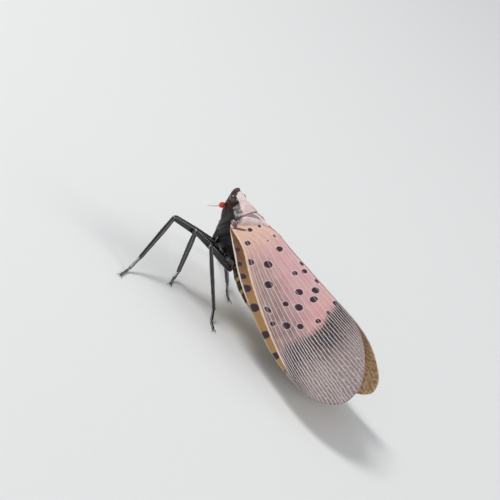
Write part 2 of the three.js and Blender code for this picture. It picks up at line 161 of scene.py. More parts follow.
# Head and shoulder parts: middles as (s, n, h) of the left one, and half-sizes along the same axes.
EYEBALL = ((1.05, 0.96, -0.4), (0.52, 0.37, 0.42))
BULB = ((0.95, 1.42, -1.72), (0.3, 0.3, 0.34))
TEGULA = ((3.5, 2.12, -1.12), (0.44, 0.26, 0.34))
STALK = ((1.0, 1.05, -1.45), (0.97, 1.25, -1.6), (0.95, 1.45, -1.75))
HAIR = ((0.95, 1.5, -1.8), (0.7, 1.95, -2.3), (0.3, 2.45, -2.75))
ROSTRUM = ((2.0, 0, -2.75), (2.6, 0, -4.3), (3.6, 0, -5.2), (5.2, 0, -5.5), (7.3, 0, -5.12))
ROSTRUM_SHARES, ROSTRUM_RADII = (0, 0.3, 0.34, 0.68, 0.72, 1), (0.3, 0.24, 0.2, 0.17, 0.14, 0.05)

# The legs' roots as (s, n, h); hips, knees, ankles and toes stand on the floor's axes, in millimetres.
LEGS = {
    "fore_left": ((3.1, 1.0, -3.6), (1.7, 2.3, 5.35), (5.2, -1.7, 5.85), (8.7, -0.8, 1.35), (12.1, -0.1)),
    "mid_left": ((4.7, 1.1, -3.6), (1.8, 4.1, 4.9), (4.5, 0.9, 6.2), (3.7, 1.75, 0.95), (5.5, 2.5)),
    "hind_left": ((6.0, 1.2, -3.5), (1.75, 5.6, 4.5), (4.5, 3.27, 6.15), (4.2, 7.6, 1.1), (5.8, 9.5)),
    "fore_right": ((3.1, -1.0, -3.6), (-1.7, 2.3, 5.35), (-4.6, -0.8, 4.9), (-6.7, 0.3, 1.0), (-8.7, 1.3)),
    "mid_right": ((4.7, -1.1, -3.6), (-1.8, 4.1, 4.9), (-3.8, 1.5, 3.5), (-3.1, 4.7, 0.75), (-1.7, 6.5)),
    "hind_right": ((6.0, -1.2, -3.5), (-1.75, 5.6, 4.5), (-4.9, 3.6, 5.6), (-5.8, 10.8, 1.15), (-6.4, 13.1)),
}
# The sole's height, how far the heel stands over it, how round a joint is, and how far a leg's ridges bulge.
SOLE, HEEL_LIFT, JOINT_RADIUS, LEG_RIDGES = 0.14, 0.06, 0.22, 0.16
# A claw from the toe's tip: how far on, out and up, with the last one down to just over the floor.
CLAW = ((0.02, 0.06, 0), (0.2, 0.2, 0.06), (0.36, 0.24, 0))
CLAW_TIP, CLAW_CLEARANCE = (0.42, 0.25), 0.035
SPINE_SHARES = (0.3, 0.45, 0.6, 0.75, 0.88)

# The camera, as the photograph was taken: how far above and behind square-on to the body it is.
# Its distance and the photograph's pixel are in mm; the head's tip falls on TIP_PIXEL.
CAMERA_LIFT, CAMERA_BEHIND = math.radians(28), math.radians(10)
CAMERA_DISTANCE, PIXEL, PICTURE = 200.0, 0.107, 500
BODY_RUN = (0.480, 0.877)
TIP_PIXEL = (236, 188)
SENSOR = 36.0
# The stage, in metres and watts: name, place, size and power of each light.
FLOOR_HALF = 1.5
LIGHTS = (
    ("Key", (0.06, -0.26, 0.30), 0.12, 0.95),
    ("Fill", (0.34, 0.02, 0.10), 0.30, 0.22),
    ("Back", (-0.20, 0.26, 0.26), 0.20, 0.45),
)
LIGHT_TARGET = Vector((0, 0, 0.005))
FLOOR_COLOUR, SKY_COLOUR, SKY_STRENGTH = (0.78, 0.78, 0.76, 1), (0.9, 0.93, 1.0, 1), 0.42


def body_points(s, n, h):
    """Points of the stance in mm: (s, n, h) turned nose-up by the body's pitch about the head's tip."""
    s, n, h = np.broadcast_arrays(*(np.asarray(x, float) for x in (s, n, h)))
    c, d = math.cos(BODY_PITCH), math.sin(BODY_PITCH)
    return np.stack([n, s * c + h * d, HEAD_HEIGHT - s * d + h * c], -1)


def frame_shift():
    """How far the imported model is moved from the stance: its left eye's middle, less the stance's."""
    low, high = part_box("eye_left")
    return (np.array(low) + np.array(high)) / 2 / MM - body_points(*EYE)


SHIFT = frame_shift()


def paint(red, green, blue):
    """A colour of 0 to 255 as the linear values that Blender's sockets take."""
    c = np.array([red, green, blue]) / 255
    return tuple(float(x) for x in np.where(c < 0.04045, c / 12.92, ((c + 0.055) / 1.055) ** 2.4))


# Second tones, which the colour settings are mottled and shaded with.
SALMON, PALE_ROSE, BLUSH = paint(222, 150, 140), paint(222, 190, 190), paint(240, 214, 205)
# The costal hem's tone is partly a pale vein and partly a painted highlight.
SPOT_RING, VEIN_CREAM, HEM_HIGHLIGHT_CREAM = paint(236, 214, 210), paint(232, 204, 180), paint(226, 216, 204)
STRIP_ROOT, STRIP_PALE = paint(104, 58, 38), paint(168, 132, 84)
ROOT_BROWN, RIDGE_BROWN = paint(84, 40, 32), paint(96, 74, 66)
CELL_GREY, CELL_BROWN = paint(140, 124, 120), paint(150, 126, 112)
# The glint tone is a painted highlight on the apex's cells.
CELL_PAINTED_GLINT, CELL_RIM = paint(206, 194, 196), paint(150, 128, 142)
# The forewing's underside tones are brightened as painted sunlight.
UNDER_SUNLIT_GOLD, UNDER_SUNLIT_BROWN = paint(238, 198, 140), paint(180, 136, 86)
HIND_WHITE, HIND_VEIN = paint(222, 214, 204), paint(150, 120, 104)
FACE_BROWN, CHEEK_BLACK = paint(78, 46, 34), paint(24, 14, 16)
SNOUT_BROWN, VERTEX_WHITE = paint(96, 68, 62), paint(233, 218, 214)
SHIELD_ROSE, SHIELD_LINE, SHIELD_RIM = paint(206, 172, 166), paint(240, 226, 222), paint(150, 120, 116)
LOBE_DARK, LOBE_FLECK = paint(62, 52, 57), paint(176, 166, 168)
# The abdomen's olive tone is its yellow darkened as painted shade.
FLANK_BROWN, BELLY_SHADED_OLIVE = paint(46, 36, 32), paint(150, 120, 34)
# The legs' pale ridge tone is a painted highlight.
LEG_BROWN, LEG_RIDGE_HIGHLIGHT, ROSTRUM_BROWN = paint(52, 34, 28), paint(190, 184, 184), paint(70, 44, 30)
BULB_DARK, STALK_BROWN = paint(176, 34, 16), paint(56, 26, 20)
EYE_DARK, EYE_BROWN = paint(30, 18, 24), paint(66, 36, 40)
TEGULA_DARK, TEGULA_PALE = paint(104, 84, 84), paint(190, 176, 170)


def setting(name, description, value, least, **kind):
    """A number setting with its value on first use and its least value."""
    return bpy.props.FloatProperty(name=name, description=description, default=value, min=least, **kind)


def size(name, description, value, least=0.0):
    return setting(name, description, value, least, unit="LENGTH")


def factor(name, description, least):
    return setting(name, description, 1.0, least, subtype="FACTOR")


class LanternflySizes(bpy.types.PropertyGroup):
    wing_thickness: size("Wing thickness", "How thick the membrane of a wing is", 0.00012, 0.00005)
    vein_relief: size("Vein relief", "How far the long veins stand out of the forewing", 0.00006)
    spot_growth: factor("Spot growth", "How much larger than measured each dark spot is drawn", 0.2)
    segment_relief: size("Segment relief", "How far each ring of the abdomen stands over the next", 0.00009)
    leg_girth: factor("Leg girth", "A factor on the thickness of every leg", 0.3)


def colour(name, description, value):
    """A colour setting with its value on first use."""
    return bpy.props.FloatVectorProperty(
        name=name, description=description, default=paint(*value), subtype="COLOR", size=3
    )


class LanternflyColours(bpy.types.PropertyGroup):
    wing_base: colour("Wing base", "The creamy orange where the forewing starts", (222, 184, 158))
    wing_pink: colour("Wing pink", "The pink of the forewing near the ridge", (208, 158, 162))
    wing_mauve: colour("Wing mauve", "The grey mauve between the veins of the forewing", (128, 104, 106))
    wing_vein: colour("Vein", "The pale veins of the forewing", (228, 196, 184))
    spot: colour("Spot", "The dark spots of the forewing", (50, 36, 50))
    strip: colour("Costal strip", "The tan strip along the forewing's lower margin", (160, 122, 76))
    net_dark: colour("Net cells", "The dark cells of the netted apex", (44, 36, 43))
    net_pale: colour("Net veins", "The pale veins of the netted apex", (208, 196, 194))
    hind_red: colour("Hindwing red", "The red base of the hindwing", (176, 30, 24))
    shield: colour("Shield", "The pink cream of the pronotum", (230, 208, 203))
    shield_mark: colour("Shield mark", "The mauve marks of the mesonotum", (112, 86, 98))
    head: colour("Head", "The dark brown of the face", (44, 26, 20))
    chitin: colour("Chitin", "The black of legs and thorax", (12, 9, 10))
    belly: colour("Abdomen", "The yellow of the abdomen", (176, 146, 52))
    antenna: colour("Antenna", "The orange red bulb of the antenna", (226, 66, 28))


# Curves and meshes


def smooth(x):
    """An ease from 0 to 1: three x squared less two x cubed, held flat outside."""
    x = np.clip(x, 0, 1)
    return x * x * (3 - 2 * x)


def between(x, start, rise, end, fall):
    """1 between start and end, easing in over the rise and out over the fall."""
    return smooth((x - start) / rise) * smooth((end - x) / fall)


def bell(x, height, at, width):
    """A bell about a place: its height times the exponential of minus (the distance over the width) squared."""
    return height * np.exp(-(((x - at) / width) ** 2))


def through(points, t):
    """A Catmull-Rom curve through the points, evenly shared over t from 0 to 1."""
    points = np.asarray(points, float)
    last = len(points) - 1
    where = np.asarray(t, float) * last
    i = np.clip(np.floor(where).astype(int), 0, last - 1)
    f = (where - i)[..., None]
    a, b, c, d = (points[np.clip(i + k, 0, last)] for k in (-1, 0, 1, 2))
    p, q = (c - a) / 2, (d - b) / 2
    return (2 * b - 2 * c + p + q) * f**3 + (3 * c - 3 * b - 2 * p - q) * f**2 + p * f + b


def at_stations(stations, s):
    """Rows of a station table at the places s: a Catmull-Rom curve through them, read by the first column."""
    stations = np.asarray(stations, float)
    return through(stations, np.interp(s, stations[:, 0], np.linspace(0, 1, len(stations))))


def grid_faces(rows, columns, wrap=False):
    """The quads of a grid of rows by columns, closed round across when it wraps."""
    i, j = np.meshgrid(np.arange(rows - 1), np.arange(columns if wrap else columns - 1), indexing="ij")
    k = (j + 1) % columns
    quads = [i * columns + j, i * columns + k, (i + 1) * columns + k, (i + 1) * columns + j]
    return np.stack(quads, -1).reshape(-1, 4)


def tube_faces(rows, columns):
    """The faces of a closed tube of rings, with a fan of triangles to one more point at each end."""
    ring = np.arange(columns)
    after = np.roll(ring, -1)
    first, last = rows * columns, rows * columns + 1
    start = np.stack([np.full(columns, first), after, ring], -1)
    end = np.stack([np.full(columns, last), (rows - 1) * columns + ring, (rows - 1) * columns + after], -1)
    return [grid_faces(rows, columns, wrap=True), np.concatenate([start, end])]


def sheet_faces(rows, columns):
    """The faces of a sheet of two like grids, one under the other, with a band round their common edge."""
    top = grid_faces(rows, columns)
    layer = rows * columns
    i, j = np.arange(rows), np.arange(columns)
    sides = [j[:-1], i[:-1] * columns + columns - 1, (rows - 1) * columns + j[:0:-1], i[:0:-1] * columns]
    rim = np.concatenate(sides)
    after = np.roll(rim, -1)
    band = np.stack([after, rim, rim + layer, after + layer], -1)
    return [np.concatenate([top, top[:, ::-1] + layer, band])]


def outward(points, faces):
    """The faces, turned over if the signed volume that they enclose is negative."""
    volume = 0.0
    for f in faces:
        for k in range(1, f.shape[1] - 1):
            a, b, c = (points[f[:, i]] for i in (0, k, k + 1))
            volume += np.einsum("ij,ij->i", a, np.cross(b, c)).sum()
    return [f[:, ::-1] for f in faces] if volume < 0 else faces


def joined(shapes):
    """Several closed shapes as one, each facing outwards and counted on from the last one's points."""
    points, faces, values, count = [], [], {}, 0
    for p, f, v in shapes:
        points.append(p)
        faces += [x + count for x in outward(p, f)]
        for key, value in v.items():
            values.setdefault(key, []).append(value)
        count += len(p)
    return np.concatenate(points), faces, {k: np.concatenate(v) for k, v in values.items()}


def make_piece(name, shape, finish, slot, *nodes):
    """A smooth mesh object from a shape: its stance points in mm, its faces and its per-point values."""
    points, faces, values = shape
    mesh = bpy.data.meshes.new(name)
    corners = [face for f in outward(points, faces) for face in f.tolist()]
    mesh.from_pydata((points + SHIFT) * MM, [], corners, shade_flat=False)
    mesh.validate()
    for key, value in values.items():
        attribute = mesh.attributes.new(key, "FLOAT_VECTOR", "POINT")
        attribute.data.foreach_set("vector", value.astype(np.float32).reshape(-1))
    mesh.materials.append(finish)
    piece = bpy.data.objects.new(name, mesh)
    bpy.context.scene.collection.objects.link(piece)
    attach(piece, BODY)
    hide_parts(*nodes)
    return piece


# Shapes


def roof(s, W, side):
    """
    A forewing's middle surface: W runs down its slope from the ridge, which steepens evenly with W,
    so n and h are the sine and cosine of the slope summed over W. Towards the apex the slope eases to
    another. Returns the points and the unit normals.
    """
    top = np.radians(SLOPE_AT_RIDGE - APEX_FLATTENING[side] * smooth((s - APEX_START) / APEX_LENGTH))
    bend = math.radians(SLOPE_AT_MARGIN - SLOPE_AT_RIDGE) / WING_WIDTH
    slope = top + bend * W
    n = (np.sin(slope) - np.sin(top)) / bend
    h = RIDGE_HEIGHT + RIDGE_RISE * (s - RIDGE_START) + (np.cos(slope) - np.cos(top)) / bend
    normal = body_points(0, side * np.sin(slope), np.cos(slope)) - body_points(0, 0, 0)
    return body_points(s, side * n, h), normal


def wing_patch(u, v):
    """The wing's outline as a Coons patch: its four margins blended, less the corners blended both ways."""
    hind, costal, apical = through(HIND_MARGIN, u), through(COSTAL_MARGIN, u), through(APICAL_MARGIN, v)
    corners = (HIND_MARGIN[0], COSTAL_MARGIN[0], APICAL_MARGIN[0], APICAL_MARGIN[-1])
    base0, base1, tip0, tip1 = (np.array(corner) for corner in corners)
    u, v = u[..., None], v[..., None]
    sides = hind * (1 - v) + costal * v
    base = base0 * (1 - v) + base1 * v
    tip = tip0 * (1 - v) + tip1 * v
    return sides + base * (1 - u) + apical * u - (base * (1 - u) + tip * u)


def lane_share(u, lane):
    """A lane's share of the wing's width at u: a parabola through its three shares, straight between lanes."""
    a, b, c = np.array(LANES).T
    bend = (b - a - (c - a) * LANE_MIDDLE) / (LANE_MIDDLE * LANE_MIDDLE - LANE_MIDDLE)
    slope = (c - a) - bend
    i = np.clip(np.floor(lane).astype(int), 0, LAST_LANE - 1)
    before, after = (a[k] + slope[k] * u + bend[k] * u * u for k in (i, i + 1))
    return before * (1 - (lane - i)) + after * (lane - i)


def line_ridge(lane, pitch, width, height):
    """A bell on each line of the pitch, in lanes."""
    away = np.abs((lane / pitch + 0.5) % 1 - 0.5) * pitch
    return bell(away, height, 0, width)


def nearest(marks, s, W, growth=1.0):
    """How far each point lies outside the nearest mark, in mm, and less than zero within it."""
    s0, W0, radius, long = (np.array(m)[:, None] for m in zip(*marks))
    away = np.hypot((s.reshape(1, -1) - s0) / long, W.reshape(1, -1) - W0) - radius * growth
    return away.min(0).reshape(s.shape)


def two_layers(top, under, **values):
    """A sheet's shape from its two layers of points, with the same values on both."""
    points = np.concatenate([top.reshape(-1, 3), under.reshape(-1, 3)])
    both = {key: np.concatenate([value.reshape(-1, 3)] * 2) for key, value in values.items()}
    return points, sheet_faces(*top.shape[:2]), both


def forewing_shape(side, thickness, relief, growth):
    """
    A forewing: the roof surface over its outline, with raised long veins, and finer ones towards the apex.
    Its values are (s, W, lane), the ways out of spots, blotches and field, and (lane width, u, underside).
    """
    rows, across = np.linspace(0, 1, WING_ROWS), np.linspace(0, LAST_LANE, LAST_LANE * LANE_STEPS + 1)
    u, lane = np.meshgrid(rows, across, indexing="ij")
    s, W = np.moveaxis(wing_patch(u, lane_share(u, lane)), -1, 0)
    points, normal = roof(s, W, side)
    net = s - np.interp(W, *zip(*NET_START))
    main_width, main_height = MAIN_VEIN
    ridges = np.maximum.reduce([
        line_ridge(lane, *LONG_VEIN) * smooth((s - 4.5) / 3),
        line_ridge(lane, *SECOND_VEIN) * smooth((s - 9) / 3) * (lane < MAIN_LANE),
        line_ridge(lane, *NET_VEIN) * smooth(net / 0.5),
        bell(lane, main_height, MAIN_LANE, main_width) * (1 - smooth((s - 18) / 3)),
    ])
    rim = smooth(np.minimum.reduce([lane / 0.25, (LAST_LANE - lane) / 0.2, (1 - u) / 0.015, u / 0.01]))
    half = thickness / 2 * (RIM_THICKNESS + (1 - RIM_THICKNESS) * rim)
    width = np.hypot(*np.moveaxis(np.gradient(np.stack([s, W], -1), axis=1), -1, 0)) * LANE_STEPS
    shape = two_layers(
        points + normal * (half + relief * ridges * rim)[..., None],
        points - normal * half[..., None],
        chart=np.stack([s, W, lane], -1),
        fields=np.stack([nearest(SPOTS, s, W, growth), nearest(BLOTCHES, s, W), net], -1),
        extra=np.stack([width, u, np.zeros_like(s)], -1),
    )
    shape[2]["extra"][s.size:, 2] = 1
    return shape


def hindwing_shape(side, thickness):
    """A hindwing: a share of the forewing's outline, let down below the roof and pleated by a cosine."""
    rows, across = np.linspace(0, 1, HINDWING_ROWS), np.linspace(0, 1, HINDWING_COLUMNS)
    u, v = np.meshgrid(rows, across, indexing="ij")
    along, across = (a + t * (b - a) for t, (a, b) in ((u, HINDWING_ALONG), (v, HINDWING_ACROSS)))
    s, W = np.moveaxis(wing_patch(along, across), -1, 0)
    points, normal = roof(s, W, side)
    pleat = PLEAT_HEIGHT * np.cos(2 * math.pi * PLEATS * v) * between(u, 0, 0.3, 1, 0.2)
    middle = points + normal * (pleat - HINDWING_DROP)[..., None]
    chart = np.stack([s, W, v * PLEATS], -1)
    return two_layers(middle + normal * thickness / 2, middle - normal * thickness / 2, chart=chart)


def abdomen_stations():
    """The abdomen's stations: their half-width is a power of a sine, so that it swells and closes."""
    t = np.linspace(0, 1, 15)
    half = ABDOMEN_HALF_WIDTH * np.sin(math.pi * (0.27 + 0.7 * t)) ** 0.8
    half[-1] = ABDOMEN_TIP
    middle = -2.55 + 0.9 * t * t
    s = ABDOMEN_START + t * (ABDOMEN_END - ABDOMEN_START)
    top, bottom = middle + 0.82 * half, middle - 0.95 * half
    return np.stack([s, top, 0.8 * half, middle + 0.45 * half, 0.94 * half, middle - 0.32 * half, bottom], 1)


def ring_rise(s, segment_relief):
    """The abdomen's rings rise evenly to their hind edges and drop to the next over the last seventh."""
    beat = (s - ABDOMEN_START) / RING_LENGTH % 1
    ends = between(s, ABDOMEN_START, RING_LENGTH, ABDOMEN_END, 1.5)
    return segment_relief * (beat - smooth((beat - 0.86) / 0.14)) * ends


def trunk_shape(segment_relief):
    """
    Head, shields, thorax and abdomen as one skin. Round the trunk, each section is a closed curve through
    its top, four points on each side and its bottom, which follow the stations along it. Its value is (s, n, h).
    """
    table = np.concatenate([TRUNK, abdomen_stations()])
    fore = np.linspace(0, FINE_ROWS_END, TRUNK_ROWS)[:-1]
    s = np.concatenate([fore, np.linspace(FINE_ROWS_END, ABDOMEN_END, ABDOMEN_ROWS)])
    top, upper, upper_h, lower, lower_h, bottom = at_stations(table, s).T[1:]
    half = [
        (SHOULDER[0] * upper, top - SHOULDER[1] * (top - upper_h)),
        (upper, upper_h),
        (lower, lower_h),
        (KEEL[0] * lower, bottom + KEEL[1] * (lower_h - bottom)),
    ]
    ring = np.array([(0 * top, top), *half, (0 * top, bottom), *[(-n, h) for n, h in half[::-1]]])
    count = len(ring)
    padded = np.concatenate([ring[-2:], ring, ring[:3]]).transpose(0, 2, 1)
    turn = np.linspace(0, 1, TRUNK_COLUMNS, endpoint=False)
    profile = through(padded.reshape(len(padded), -1), (2 + turn * count) / (len(padded) - 1))
    n, h = profile.reshape(TRUNK_COLUMNS, len(s), 2).transpose(2, 1, 0)
    S = np.broadcast_to(s[:, None], n.shape)
    centre = ((top + bottom) / 2)[:, None]
    scale = 1 + ring_rise(s, segment_relief)[:, None] / (np.hypot(n, h - centre) + 1e-6)
    n, h = n * scale, centre + (h - centre) * scale
    n = n * (1 + flank_relief(S, h) / PLATE_RADIUS)
    h = h + shield_relief(S, n, h)
    ends = [[s[i] + step, 0, (top[i] + bottom[i]) / 2] for i, step in ((0, -0.04), (-1, 0.08))]
    place = np.concatenate([np.stack([S, n, h], -1).reshape(-1, 3), ends])
    return body_points(*place.T), tube_faces(*n.shape), {"place": place}


def shield_relief(s, n, h):
    """The upper side's forms as bells: keels, rims, pits, the hollow vertex and two slanting ridges."""
    out = np.abs(n)
    rims = sum(bell(s, *form) for form in RIMS)
    keels = sum(bell(out, *form) * between(s, *run) for form, run in KEELS)
    hollows = sum(bell(out, *form) * bell(s, 1, *run) for form, run in HOLLOWS)
    slant = bell(out + SLANT_LEAN * s, SLANT_HEIGHT, SLANT_AT, SLANT_WIDTH) * between(s, 3.4, 0.2, 5.1, 0.3)
    return smooth((h + 0.75) / 0.5) * (rims + keels + hollows + slant)


def flank_relief(s, h):
    """The thorax's side plates: three leaning grooves as bells, each behind a swell, fading up and down."""
    lean = s - PLATE_LEAN * (h - PLATE_MIDDLE)
    grooves = sum(bell(lean, GROOVE_DEPTH, at, GROOVE_WIDTH) for at in PLATES)
    swells = sum(bell(lean, SWELL_HEIGHT, at - SWELL_BEFORE, SWELL_WIDTH) for at in PLATES)
    return between(h, -4.6, 0.6, -1.0, 0.5) * between(s, 2.2, 0.4, 6.9, 0.4) * (swells - grooves)


def egg_shape(form, side, rows=40, columns=48, rough=0.0):
    """An ellipsoid by latitude and longitude, pushed in and out by crossed sines when rough."""
    (s, n, h), size = form
    centre = np.array([s, side * n, h])
    angles = np.linspace(0, math.pi, rows + 2)[1:-1], np.linspace(0, 2 * math.pi, columns, endpoint=False)
    lat, lon = np.meshgrid(*angles, indexing="ij")
    swell = 1 + rough * np.sin(lon * 8) * np.sin(lat * 14)
    unit = np.stack([np.cos(lat), np.sin(lat) * np.cos(lon), np.sin(lat) * np.sin(lon)], -1)
    poles = np.array([[size[0], 0, 0], [-size[0], 0, 0]])
    place = np.concatenate([(unit * swell[..., None]).reshape(-1, 3) * size, poles]) + centre
    return body_points(*place.T), tube_faces(rows, columns), {}


def along_path(points, count):
    """A path through the points in even steps of length, with two normals that turn as little as may be."""
    fine = through(points, np.linspace(0, 1, 600))
    run = np.concatenate([[0], np.cumsum(np.linalg.norm(np.diff(fine, axis=0), axis=1))])
    where = np.linspace(0, run[-1], count)
    path = np.stack([np.interp(where, run, fine[:, k]) for k in range(3)], 1)
    tangent = np.gradient(path, axis=0)
    tangent /= np.linalg.norm(tangent, axis=1)[:, None]
    up = np.zeros_like(path)
    seed = np.array([0.0, 0.0, 1.0]) if abs(tangent[0, 2]) < 0.9 else np.array([1.0, 0.0, 0.0])
    for i in range(count):
        seed = unit_vector(seed - tangent[i] * (seed @ tangent[i]))
        up[i] = seed
    return path, up, np.cross(tangent, up), where


def unit_vector(vector):
    return vector / np.linalg.norm(vector)


def tube_shape(points, radius, count, columns, ridges=0.0):
    """
    A tube along a path: its radius is a function of the length run, and with ridges its section
    bulges at four corners as a cosine of four times the angle. Its value is the share of the way round.
    """
    path, up, across, where = along_path(points, count)
    turn = np.linspace(0, 2 * math.pi, columns, endpoint=False)[None, :, None]
    size = radius(where)[:, None, None] * (1 + ridges * np.cos(4 * turn))
    ring = path[:, None] + size * (np.cos(turn) * up[:, None] + np.sin(turn) * across[:, None])
    world = np.concatenate([ring.reshape(-1, 3), path[:1], path[-1:]])
    share = np.zeros_like(world)
    share[:-2, 0] = np.tile(turn.reshape(-1) / (2 * math.pi), count)
    return world, tube_faces(count, columns), {"turn": share}


def taper(size, loss=0.0):
    """A radius that starts at a size and has lost a share of it by the end."""
    return lambda where: size * (1 - loss * where / where[-1])


def rounded(corners, radius):
    """A path of straight runs with each corner replaced by five points near it."""
    path = [corners[0]]
    for a, b, c in zip(corners, corners[1:], corners[2:]):
        back, on = unit_vector(a - b), unit_vector(c - b)
        ways = (back * 2, back * 0.8, (back + on) * 0.12, on * 0.8, on * 2)
        path += [b + way * radius for way in ways]
    return np.array(path + [corners[-1]])


def leg_radius(runs, girth):
    """
    The leg's radius by the length run: thick at the thigh, nipped at each joint, swollen along the foot.
    The runs are the lengths at hip, knee, ankle, heel and toe; rounded corners cut the way a little short.
    """
    h, k, a, e, t = runs
    thigh, shin, foot = k - h, a - k, t - e
    lengths, radii = np.array([
        (0, 0.46), (h * 0.6, 0.42), (h - 0.12, 0.26), (h + 0.12, 0.29), (h + 0.5, 0.36),
        (h + thigh * 0.45, 0.4), (k - 0.5, 0.32), (k - 0.1, 0.25), (k + 0.2, 0.21), (k + shin * 0.35, 0.26),
        (k + shin * 0.75, 0.22), (a - 0.15, 0.2), (a, 0.15), (a + 0.25, 0.13), (a + (e - a) * 0.85, 0.16),
        (e, 0.1), (e + foot * 0.12, 0.13), (e + foot * 0.28, 0.15), (e + foot * 0.36, 0.09),
        (e + foot * 0.5, 0.11), (t - 0.25, 0.13), (t - 0.05, 0.12), (t, 0.05),
    ]).T
    return lambda where: np.interp(where / where[-1] * t, lengths, radii) * girth


def leg_shape(name, girth):
    """
    One leg as one skin: its path runs from the trunk over hip, knee and ankle to the toe. Claws stand at
    the toe, spurs round the ankle and spines along a hind shin, as tapering tubes.
    """
    root, hip, knee, ankle, toe = LEGS[name]
    hind = name.startswith("hind")
    side = 1 if name.endswith("left") else -1
    hip, knee, ankle = (np.array(p, float) for p in (hip, knee, ankle))
    sole = SOLE * girth
    toe = np.array([*toe, sole])
    heel = ankle + (toe - ankle) * 0.5
    heel[2] = sole + HEEL_LIFT
    corners = [body_points(*root), hip, knee, ankle, heel, toe]
    runs = np.cumsum([np.linalg.norm(b - a) for a, b in zip(corners, corners[1:])])
    shapes = [tube_shape(rounded(corners, JOINT_RADIUS), leg_radius(runs, girth), 260, 32, LEG_RIDGES)]
    on, up = unit_vector(toe - heel), np.array([0, 0, 1.0])
    for out in (-np.cross(on, up), np.cross(on, up)):
        claw = [toe + on * ahead + out * aside + up * rise for ahead, aside, rise in CLAW]
        claw.append(toe + on * CLAW_TIP[0] + out * CLAW_TIP[1] - up * (sole - CLAW_CLEARANCE))
        shapes.append(tube_shape(claw, taper(0.055, 0.85), 14, 8))
    axis = unit_vector(ankle - knee)
    for share in SPINE_SHARES if hind else ():
        base = knee + (ankle - knee) * share
        way = unit_vector(np.array([side, 0.35, 0]) + axis * 0.9)
        spine = [base, base + way * 0.35, base + way * 0.7 + axis * 0.04]
        shapes.append(tube_shape(spine, taper(0.1, 0.9), 10, 8))
    other = unit_vector(np.cross(axis, up))
    for spin in np.linspace(0, 2 * math.pi, 6 if hind else 4, endpoint=False):
        way = math.cos(spin) * other + math.sin(spin) * np.cross(axis, other)
        base = ankle - axis * 0.1
        spur = [base, base + way * 0.16 + axis * 0.12, base + way * 0.22 + axis * 0.3]
        shapes.append(tube_shape(spur, taper(0.05, 0.85), 6, 6))
    return joined(shapes)


def antenna_shape(side):
    """An antenna: a pitted bulb on a stalk, with a hair. Its value is 1 on the bulb."""
    stalk, hair = (body_points(*(np.array(path) * [1, side, 1]).T) for path in (STALK, HAIR))
    bulb = egg_shape(BULB, side, 48, 64, rough=0.05)
    stalk, hair = tube_shape(stalk, taper(0.16), 12, 20), tube_shape(hair, taper(0.035, 0.7), 40, 10)
    tints = (bulb, 1.0), (stalk, 0.0), (hair, 0.0)
    return joined([(p, f, {"tint": np.tile([tint, 0, 0], (len(p), 1))}) for (p, f, _), tint in tints])


def rostrum_shape():
    """The rostrum: a slim ridged tube under the body, in three joints."""
    radius = lambda where: np.interp(where / where[-1], ROSTRUM_SHARES, ROSTRUM_RADII)
    return tube_shape(body_points(*np.array(ROSTRUM).T), radius, 140, 28, 0.06)


# Finishes


class Field:
    """One value, colour or vector of a shader tree. Arithmetic on fields adds Math nodes to the tree."""

    def __init__(self, tree, socket):
        self.tree, self.socket = tree, socket

    def math(self, operation, *others):
        return field(self.tree, "Math", dict(enumerate((self, *others))), operation=operation)

    def __rsub__(self, other):
        return field(self.tree, "Math", {0: other, 1: self}, operation="SUBTRACT")

    __add__ = partialmethod(math, "ADD")
    __sub__ = partialmethod(math, "SUBTRACT")
    __mul__ = partialmethod(math, "MULTIPLY")
    __truediv__ = partialmethod(math, "DIVIDE")
    __abs__ = partialmethod(math, "ABSOLUTE")


def node(tree, kind, inputs=None, **settings):
    """A shader node of a kind, with its settings, and with inputs given as fields or values."""
    made = tree.nodes.new("ShaderNode" + kind)
    for key, value in settings.items():
        setattr(made, key, value)
    for key, value in (inputs or {}).items():
        if isinstance(value, Field):
            tree.links.new(value.socket, made.inputs[key])
        else:
            made.inputs[key].default_value = value
    return made


def field(tree, kind, inputs=None, output=0, **settings):
    """One output of a new shader node, as a field."""
    return Field(tree, node(tree, kind, inputs, **settings).outputs[output])


def ease(value, low, high):
    """0 where the value is at low, 1 where it is at high, and smooth between."""
    inputs = {0: value, 1: low, 2: high, 3: 0.0, 4: 1.0}
    return field(value.tree, "MapRange", inputs, interpolation_type="SMOOTHSTEP")


def blend(share, a, b):
    """Two colours mixed by a share."""
    a, b = (c if isinstance(c, Field) else (*tuple(c)[:3], 1.0) for c in (a, b))
    return field(share.tree, "Mix", {0: share, 6: a, 7: b}, output=2, data_type="RGBA")


def layered(ground, *layers):
    """Colours laid over a ground one after another, each by its share."""
    for share, tone in layers:
        ground = blend(share, ground, tone)
    return ground


def noise(vector, scale, detail=3.0):
    """Smooth noise about a half."""
    return field(vector.tree, "TexNoise", {"Vector": vector, "Scale": scale, "Detail": detail})


def cell_distance(vector, scale):
    """How far the nearest of scattered points is."""
    return field(vector.tree, "TexVoronoi", {"Vector": vector, "Scale": scale}, "Distance", feature="F1")


def object_place(tree):
    return field(tree, "TexCoord", output="Object")


def per_point(tree, name):
    """A per-point value of the mesh: its three numbers, and all of them as a vector."""
    vector = field(tree, "Attribute", output="Vector", attribute_name=name, attribute_type="GEOMETRY")
    return [Field(tree, number) for number in node(tree, "SeparateXYZ", {0: vector}).outputs], vector


